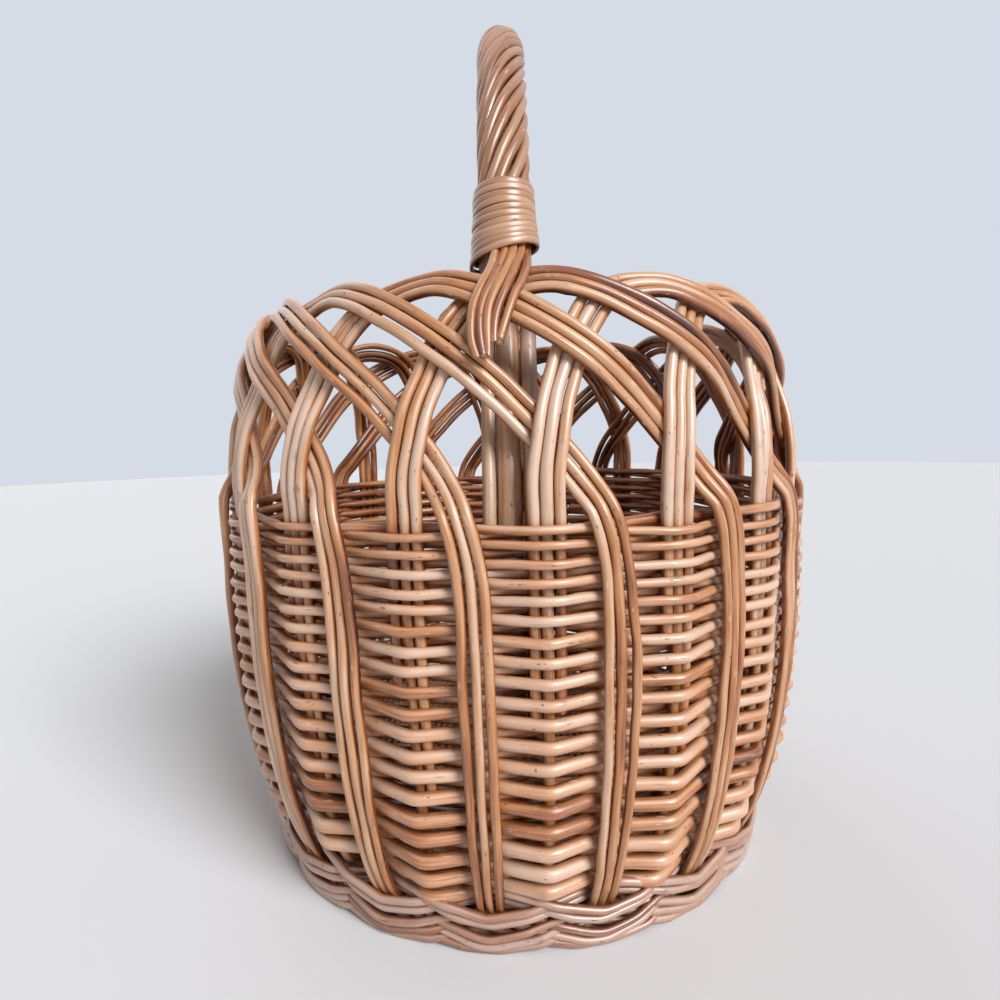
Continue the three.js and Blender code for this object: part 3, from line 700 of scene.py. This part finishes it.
def add_base_sticks():
    rng = np.random.default_rng(SEEDS["sticks"])
    for stem, count, turned_across in (("along", STICKS_ALONG, False), ("across", STICKS_ACROSS, True)):
        for i in range(count):
            place = i - (count - 1) / 2
            fan = place * math.pi / (STICKS_ALONG + STICKS_ACROSS)
            path = stick_line(place * STICK_SPACING, fan, turned_across)
            bundle = Bundle()
            widths = np.linspace(1, STICK_TAPER, len(path)) * BASE_STICK_RADIUS
            add_tube(bundle, path, UP, widths, rng, slant=STICK_SLANT)
            node = f"base_stick_{stem}_{i + 1:02d}"
            make_piece(f"rod_{node}", bundle, base_willow, [node])


def add_base_weave():
    """Two rods wound outwards together, each over the sticks that the other goes under."""
    rng = np.random.default_rng(SEEDS["base_weave"])
    bundle = Bundle()
    inner = STICKS_STRAIGHT + BASE_ROD_RADIUS
    outer = body_radius(STAKE_FOOT) - 3 * ROD_RADIUS
    rounds = int((outer - inner) / (2 * BASE_ROD_RADIUS))
    sticks_passed = rounds * STAKE_COUNT // 2 * 2
    turns = np.arange(sticks_passed * 2 + 1) / 2
    radius = inner + (outer - inner) * turns / turns[-1]
    for start in (0, 1):
        wave = np.cos(math.pi * (turns + start)) * (BASE_STICK_RADIUS + BASE_ROD_RADIUS)
        path = spline(around(FIRST_STAKE + turns, radius, STAKE_FOOT + wave), BASE_RING_SPACING)
        add_tube(bundle, path, UP, BASE_ROD_RADIUS, rng)
    make_piece("rods_base_weave", bundle, base_willow, ["base_weave"])


# Foot border, of five rods for each band. They slant down to the foot of the band, kink there and rise again
# behind the next rods: stake pitches from the band, share of the foot's height, and share of its depth.
FOOT_RODS = [
    [
        (-1.05, 1.2, 0), (-0.75, 1.22, 0.55), (-0.4, 1.05, 0.95), (0, 0.82, 1.05),
        (0.35, 0.95, 0.9), (0.7, 1.08, 0.35), (1, 1.15, -0.1),
    ],
    [
        (-0.95, 1, 0), (-0.62, 0.95, 0.5), (-0.3, 0.79, 0.95), (0, 0.64, 1),
        (0.35, 0.77, 0.85), (0.7, 0.92, 0.35), (1, 1, -0.1),
    ],
    [
        (-0.75, 0.64, 0), (-0.45, 0.53, 0.6), (-0.15, 0.37, 0.95), (0, 0.31, 1),
        (0.35, 0.47, 0.9), (0.7, 0.65, 0.45), (1.05, 0.8, 0),
    ],
    [
        (-0.85, 0.46, 0.05), (-0.5, 0.35, 0.6), (-0.15, 0.19, 0.95), (0.03, 0.15, 1),
        (0.4, 0.31, 0.85), (0.75, 0.5, 0.3), (1.1, 0.64, -0.1),
    ],
    [
        (-1, 0.3, 0), (-0.6, 0.19, 0.6), (-0.25, 0.08, 0.85), (0.1, 0.06, 0.9),
        (0.45, 0.15, 0.8), (0.8, 0.33, 0.3), (1.1, 0.45, -0.1),
    ],
]
FOOT_CORE = ((0.12, -0.25), (0.34, -0.3), (0.56, -0.3), (0.78, -0.3), (1, -0.2))  # rods all the way round
CORE_OVERLAP = 0.5  # stake pitches by which their ends pass each other
CORE_STEP = 0.25
FOOT_ROD_RADIUS = 0.0019
FOOT_TAPER = (1.06, 0.9)  # widths at a rod's two ends, as shares of the usual one
FOOT_WIDTHS = (0.92, 1.08)  # range of the rods' widths
FOOT_DEPTH = 0.0085
FOOT_FLARE = 0.004  # how much further out the foot's top is than its bottom
FOOT_LOWEST = 1.1 * FOOT_ROD_RADIUS
FOOT_PITCH_SPREAD = 0.02  # how far a rod's points vary along the foot, in pitches
FOOT_SHARE_SPREAD = 0.012  # how far they vary in height, as a share of the foot's
FOOT_BEND = 0.002  # softness of the rods' kinks
FOOT_CORE_BEND = 0.004


def foot_point(turn, share, depth):
    radius = FOOT_OUTER - FOOT_ROD_RADIUS - FOOT_FLARE * (1 - min(share, 1)) - FOOT_DEPTH * (1 - depth)
    return around(turn, radius, max(FOOT_HEIGHT * share, FOOT_LOWEST))


def add_foot_border():
    rng = np.random.default_rng(SEEDS["foot"])
    bundle = Bundle()
    for number in range(STAKE_COUNT):
        band = FIRST_STAKE + number + 0.5
        for rod in FOOT_RODS:
            points = []
            for pitches, share, depth in rod:
                turn = band + pitches + rng.normal(0, FOOT_PITCH_SPREAD)
                points.append(foot_point(turn, share + rng.normal(0, FOOT_SHARE_SPREAD), depth))
            path = rounded(points, FOOT_BEND)
            widths = np.linspace(*FOOT_TAPER, len(path)) * FOOT_ROD_RADIUS * rng.uniform(*FOOT_WIDTHS)
            add_tube(bundle, path, away_from_middle(path), widths, rng)
    turns = np.arange(0, STAKE_COUNT + CORE_OVERLAP, CORE_STEP)
    for share, depth in FOOT_CORE:
        path = rounded([foot_point(turn, share, depth) for turn in turns], FOOT_CORE_BEND)
        add_tube(bundle, path, away_from_middle(path), FOOT_ROD_RADIUS, rng)
    make_piece("rods_foot_border", bundle, foot_willow, ["foot_border"])


# Handle
HANDLE_RADIUS = body_radius(RIM_HEIGHT) - HANDLE_INSET
# Paler tones than the rods' usual one: painted light on the bow's legs, which stand in shade inside the
# basket
BOW_TONE = 0.8
BOW_SPACING = 0.001
LEG_POINTS = 5
ARCH_STEP = 15  # degrees from one given point of the arch to the next
LEG_RODS = ((0.0088, 0.0036, 0.09), (-0.0083, 0.0029, 0.125))  # place right of the bow, half-width, foot
LEG_ROD_TONE = 0.85
LEG_RODS_RISE = 0.004  # their top ends above the lashing's foot
STRANDS_DROP = 0.0095  # the strands' ends below the lashing's foot
STRAND_FILL = 0.345  # half-width of a roping rod as a share of the roping's thickness
STRAND_WIDTHS = (0.96, 1.06)  # range of the rods' widths
STRAND_SWAY = 0.05  # radians by which they stray round the bow
STRAND_LIFT = 0.0003


def bow_line():
    """The bow from the foot of its front leg over the top to the foot of its back leg."""
    legs = np.linspace(LEG_FOOT_HEIGHT, WALL_TOP, LEG_POINTS)
    half = [(0, -(body_radius(height) - LEG_INSET), height) for height in legs]
    for degrees in range(0, 90, ARCH_STEP):
        angle = math.radians(degrees)
        half.append((0, -HANDLE_RADIUS * math.cos(angle), RIM_HEIGHT + HANDLE_RISE * math.sin(angle)))
    top = [(0, 0, RIM_HEIGHT + HANDLE_RISE)]
    back = [(x, -y, z) for x, y, z in reversed(half)]
    return spline([*half, *top, *back], BOW_SPACING)


BOW = bow_line()
BOW_ALONG = lengths_along(BOW)
BOW_TANGENT = unit(np.gradient(BOW, axis=0))


def bow_length_at(height):
    """Length along the bow at which its front half reaches a height."""
    half = len(BOW) // 2
    return np.interp(height, BOW[:half, 2], BOW_ALONG[:half])


def round_bow(lengths, radius, angle):
    """Points round the bow, with the directions away from it. At a right angle they lie inside the arch."""
    point = np.stack([np.interp(lengths, BOW_ALONG, column) for column in BOW.T], axis=-1)
    tangent = np.stack([np.interp(lengths, BOW_ALONG, column) for column in BOW_TANGENT.T], axis=-1)
    inward = np.cross(tangent, SIDEWAYS)
    out = SIDEWAYS * np.cos(angle)[:, None] + inward * np.sin(angle)[:, None]
    return point + out * np.broadcast_to(radius, angle.shape)[:, None], out


def add_bow():
    """The bow and, beside its legs, the butts of the roping rods pushed down into the weave."""
    rng = np.random.default_rng(SEEDS["bow"])
    bundle = Bundle()
    path = resample(BOW, RING_SPACING)
    outs = np.cross(SIDEWAYS, unit(np.gradient(path, axis=0)))
    add_tube(bundle, path, outs, BOW_RADIUS, rng, tone=BOW_TONE)
    roped = bow_length_at(LASHING_FOOT + LEG_RODS_RISE)
    for at_back in (False, True):
        for aside, half, foot in LEG_RODS:
            lengths = np.arange(bow_length_at(foot), roped, RING_SPACING)
            lengths = BOW_ALONG[-1] - lengths if at_back else lengths
            rod, _ = round_bow(lengths, abs(aside), np.full(len(lengths), 0.0 if aside > 0 else math.pi))
            add_tube(bundle, rod, unit(rod * np.array([0, 1, 0])), half, rng, tone=LEG_ROD_TONE)
    make_piece("rods_handle_bow", bundle, border_willow, ["handle_bow"])


def add_strands():
    """The rods roped round the bow, side by side, from lashing to lashing."""
    start = bow_length_at(LASHING_FOOT - STRANDS_DROP)
    lengths = np.arange(start, BOW_ALONG[-1] - start, RING_SPACING)
    twist = math.tau * ROPE_TURNS * (lengths - start) / (BOW_ALONG[-1] - 2 * start)
    count = ROPE_STRANDS * RODS_PER_STRAND
    half = (ROPE_RADIUS - BOW_RADIUS) * STRAND_FILL
    for strand in range(ROPE_STRANDS):
        rng = np.random.default_rng(SEEDS["rope"] + strand)
        bundle = Bundle()
        for i in range(RODS_PER_STRAND):
            angle = math.tau * (strand * RODS_PER_STRAND + i) / count + twist
            angle = angle + STRAND_SWAY * wander(lengths, rng, reach=0.06)
            radius = ROPE_RADIUS - half + STRAND_LIFT * wander(lengths, rng, reach=0.05)
            rod, outs = round_bow(lengths, radius, angle)
            add_tube(bundle, rod, outs, half * rng.uniform(*STRAND_WIDTHS), rng)
        node = f"handle_strand_{strand + 1}"
        make_piece(f"rods_{node}", bundle, handle_willow, [node])


# Lashings
LASHING_STEPS = 40  # points in a turn
LASHING_START = 1.4  # lowest turn above the lashing's foot, in widths of the cane
LASHING_TONE = 0.64
LASHING_SLANT = 0.0042  # how far the lowest turn is drawn down on one side
SLANT_TURN = 0.25  # radians from straight aside to where that is most
FRONT_RISE = 0.0022  # how much less it is drawn down in front
SLANT_FADE = 1.6  # power by which the slant fades up the lashing
LASHING_FLARE = 0.0016  # how much wider the lowest turn is all round
FRONT_FLARE = 0.0026  # how much wider still in front, over the tail
FLARE_FADE = 1.5  # power by which the flare fades up the lashing
CANE_FILL = 0.53  # half-width of the cane as a share of the turns' spacing
CANE_BED = 0.9  # cane's middle off the roping, in thicknesses
CANE_DRIFT = 0.0003  # how far the turns stray along the roping
CANE_UNEVEN = 0.06  # share by which the cane's width varies
CANE_BOXY = 0.6
WOUND_RADIUS = 0.012  # round which the cane's length is counted


def add_lashing(name, at_back):
    """One flat cane wound close round the roping, its lowest turns wider and drawn down on one side."""
    rng = np.random.default_rng(SEEDS["lashing"] + at_back)
    width = LASHING_LENGTH / LASHING_TURNS
    start = bow_length_at(LASHING_FOOT) + LASHING_START * width
    angle = np.arange(0, LASHING_TURNS * math.tau, math.tau / LASHING_STEPS)
    wound = angle * WOUND_RADIUS
    climbed = angle / angle[-1]
    in_front = np.maximum(-np.cos(angle), 0)
    slant = LASHING_SLANT * np.sin(angle - SLANT_TURN) - FRONT_RISE * in_front
    drawn_down = (1 - climbed) ** SLANT_FADE * slant
    lengths = start + climbed * (LASHING_LENGTH - width)
    lengths = lengths - drawn_down + CANE_DRIFT * wander(wound, rng, reach=0.05)
    flare = (1 - climbed) ** FLARE_FADE * (LASHING_FLARE + FRONT_FLARE * in_front)
    radius = ROPE_RADIUS + CANE_BED * CANE_THICKNESS + flare
    turned = math.pi / 2 + angle
    lengths = BOW_ALONG[-1] - lengths if at_back else lengths
    path, outs = round_bow(lengths, radius, -turned if at_back else turned)
    half = CANE_FILL * width * (1 + CANE_UNEVEN * wander(wound, rng, reach=0.06))
    flat = CANE_THICKNESS / width
    bundle = Bundle()
    add_tube(bundle, path, outs, half, rng, tone=LASHING_TONE, flat=flat, boxy=CANE_BOXY, knotty=False)
    make_piece(f"cane_{name}", bundle, lashing_cane, [name])


# The five tail rods: how far from the bow's middle each leaves the lashing, and its stake pitches from the
# front at each share of the border's height. The last two end sooner.
TAIL_SHARES = (1.06, 0.97, 0.92, 0.86, 0.79, 0.71, 0.655)
TAIL_RODS = [
    (-0.0035, (-0.12, -0.18, -0.21, -0.24, -0.25, -0.24, -0.21)),
    (0.0, (-0.05, -0.11, -0.15, -0.18, -0.19, -0.18, -0.16)),
    (0.0034, (0.02, -0.05, -0.09, -0.12, -0.13, -0.13, -0.13)),
    (0.0066, (0.09, 0.025, -0.01, -0.05, -0.08, -0.09)),
    (0.009, (0.18, 0.12, 0.07, 0.03, -0.01, -0.05)),
]
TAIL_ROD_RADIUS = 0.0019
TAIL_TAPER = (1.06, 0.92)  # widths at a rod's two ends, as shares of the usual one
TAIL_TONES = (0.22, 0.5)  # range of the rods' tones
TAIL_SLANT = 0.7
TAIL_TOP = LASHING_FOOT + 0.014  # where a tail rod starts under the lashing
TAIL_EXIT = LASHING_FOOT + 0.0062  # where it bends to leave it
TAIL_SPLAY = 0.0022  # how far forward it is there
TAIL_STANDOFF = 0.0074  # tail's middle off the stakes' centres
TAIL_TILT = 0.06  # height added to the way out from the middle, so that its outer side faces up a little


def add_tail(name, at_back):
    """The roping rods' ends, from under the lashing over the rim and down its outside."""
    rng = np.random.default_rng(SEEDS["tail"] + at_back)
    bundle = Bundle()
    for aside, pitches in TAIL_RODS:
        ahead = HANDLE_RADIUS + math.sqrt((ROPE_RADIUS - TAIL_ROD_RADIUS) ** 2 - aside**2)
        points = [(aside, -ahead, TAIL_TOP), (aside, -ahead - TAIL_SPLAY, TAIL_EXIT)]
        for turn, share in zip(pitches, TAIL_SHARES):
            height = WALL_TOP + share * BORDER_HEIGHT
            points.append(around(turn, body_radius(height) + TAIL_STANDOFF, height))
        path = spline(points)
        outs = unit(path * LEVEL + TAIL_TILT * UP)
        if at_back:
            path = path * HALF_TURN
            outs = outs * HALF_TURN
        widths = np.linspace(*TAIL_TAPER, len(path)) * TAIL_ROD_RADIUS
        add_tube(bundle, path, outs, widths, rng, tone=rng.uniform(*TAIL_TONES), slant=TAIL_SLANT)
    make_piece(f"rods_{name}", bundle, border_willow, [name])


# Stage
FLOOR_RADIUS = 4.0
FLOOR_SIDES = 128
FLOOR_COLOUR = (222, 223, 226)
FLOOR_ROUGHNESS = 0.7
WALL_COLOUR = (214, 220, 230)
DAYLIGHT = (1.0, 0.97, 0.93, 1.0)
DAYLIGHT_STRENGTH = 0.3


def add_floor():
    material = bpy.data.materials.new("pale_floor")
    material.use_nodes = True
    shader = material.node_tree.nodes["Principled BSDF"]
    shader.inputs["Base Color"].default_value = linear(*FLOOR_COLOUR)
    shader.inputs["Roughness"].default_value = FLOOR_ROUGHNESS
    mesh = bpy.data.meshes.new("floor")
    turns = np.linspace(0, math.tau, FLOOR_SIDES, endpoint=False)
    corners = [(FLOOR_RADIUS * math.cos(turn), FLOOR_RADIUS * math.sin(turn), 0) for turn in turns]
    mesh.from_pydata(corners, [], [range(FLOOR_SIDES)])
    mesh.materials.append(material)
    floor = bpy.data.objects.new("floor", mesh)
    bpy.context.scene.collection.objects.link(floor)


def add_sun(name, place, strength, spread, colour):
    """Light from the direction of a place, as wide as a patch of bright sky of that many degrees."""
    light = bpy.data.lights.new(name, "SUN")
    light.energy = strength
    light.angle = math.radians(spread)
    light.color = colour
    lamp = bpy.data.objects.new(name, light)
    back = unit(np.array(place, float))
    right = unit(np.cross([0.0, 1.0, 0.0], back))
    turned = Matrix([right, np.cross(back, right), back]).transposed()
    lamp.matrix_world = Matrix.Translation(place) @ turned.to_4x4()
    bpy.context.scene.collection.objects.link(lamp)


def set_world():
    """Soft daylight, and a pale wall behind the object where the camera looks past it."""
    world = bpy.data.worlds.new("daylight")
    world.use_nodes = True
    tree = world.node_tree
    tree.nodes.clear()
    path = add_node(tree, "ShaderNodeLightPath")
    seen = combine(tree, "MAXIMUM", path.outputs["Is Camera Ray"], path.outputs["Is Glossy Ray"])
    seen = combine(tree, "MAXIMUM", seen, path.outputs["Is Transmission Ray"])
    light = add_node(tree, "ShaderNodeBackground", Color=DAYLIGHT, Strength=DAYLIGHT_STRENGTH)
    wall = add_node(tree, "ShaderNodeBackground", Color=linear(*WALL_COLOUR), Strength=1.0)
    sources = [(0, seen), (1, light.outputs[0]), (2, wall.outputs[0])]
    mix = add_node(tree, "ShaderNodeMixShader", sources)
    add_node(tree, "ShaderNodeOutputWorld", [("Surface", mix.outputs[0])])
    bpy.context.scene.world = world


# Camera at the photograph's angle, for a square picture
SENSOR_WIDTH = 36  # millimetres
FOCAL_SHARE = 0.66  # focal length as a share of the picture's width
NEAREST_SEEN = 0.01
CAMERA_PLACE = (0, -0.4056, 0.226)
CAMERA_DOWN, CAMERA_LEFT, CAMERA_ROLL = 5.95, 0.9, -1.34  # degrees


def add_camera():
    data = bpy.data.cameras.new("camera")
    data.sensor_width = SENSOR_WIDTH
    data.lens = FOCAL_SHARE * SENSOR_WIDTH
    data.clip_start = NEAREST_SEEN
    camera = bpy.data.objects.new("camera", data)
    turn = Matrix.Rotation(math.radians(CAMERA_LEFT), 4, "Z")
    tilt = Matrix.Rotation(math.radians(90 - CAMERA_DOWN), 4, "X")
    roll = Matrix.Rotation(math.radians(CAMERA_ROLL), 4, "Z")
    camera.matrix_world = Matrix.Translation(CAMERA_PLACE) @ turn @ tilt @ roll
    bpy.context.scene.collection.objects.link(camera)
    bpy.context.scene.camera = camera


add_camera()
route = group_line()
for stake in range(1, STAKE_COUNT + 1):
    add_border_group(stake, route)
for weaver in range(1, WEAVERS_PER_SET + 1):
    add_weaver("a", weaver)
    add_weaver("b", weaver)
add_base_sticks()
add_base_weave()
add_foot_border()
add_bow()
add_strands()
add_lashing("lashing_front", False)
add_lashing("lashing_back", True)
add_tail("tail_front", False)
add_tail("tail_back", True)
add_floor()
add_sun("key", place=(0.95, -1.1, 1.0), strength=3.65, spread=28, colour=(0.975, 0.985, 1.0))
add_sun("back fill", place=(-0.9, 1.1, 0.9), strength=0.5, spread=60, colour=(1.0, 0.98, 0.95))
set_world()
bpy.context.scene.view_settings.view_transform = "Standard"
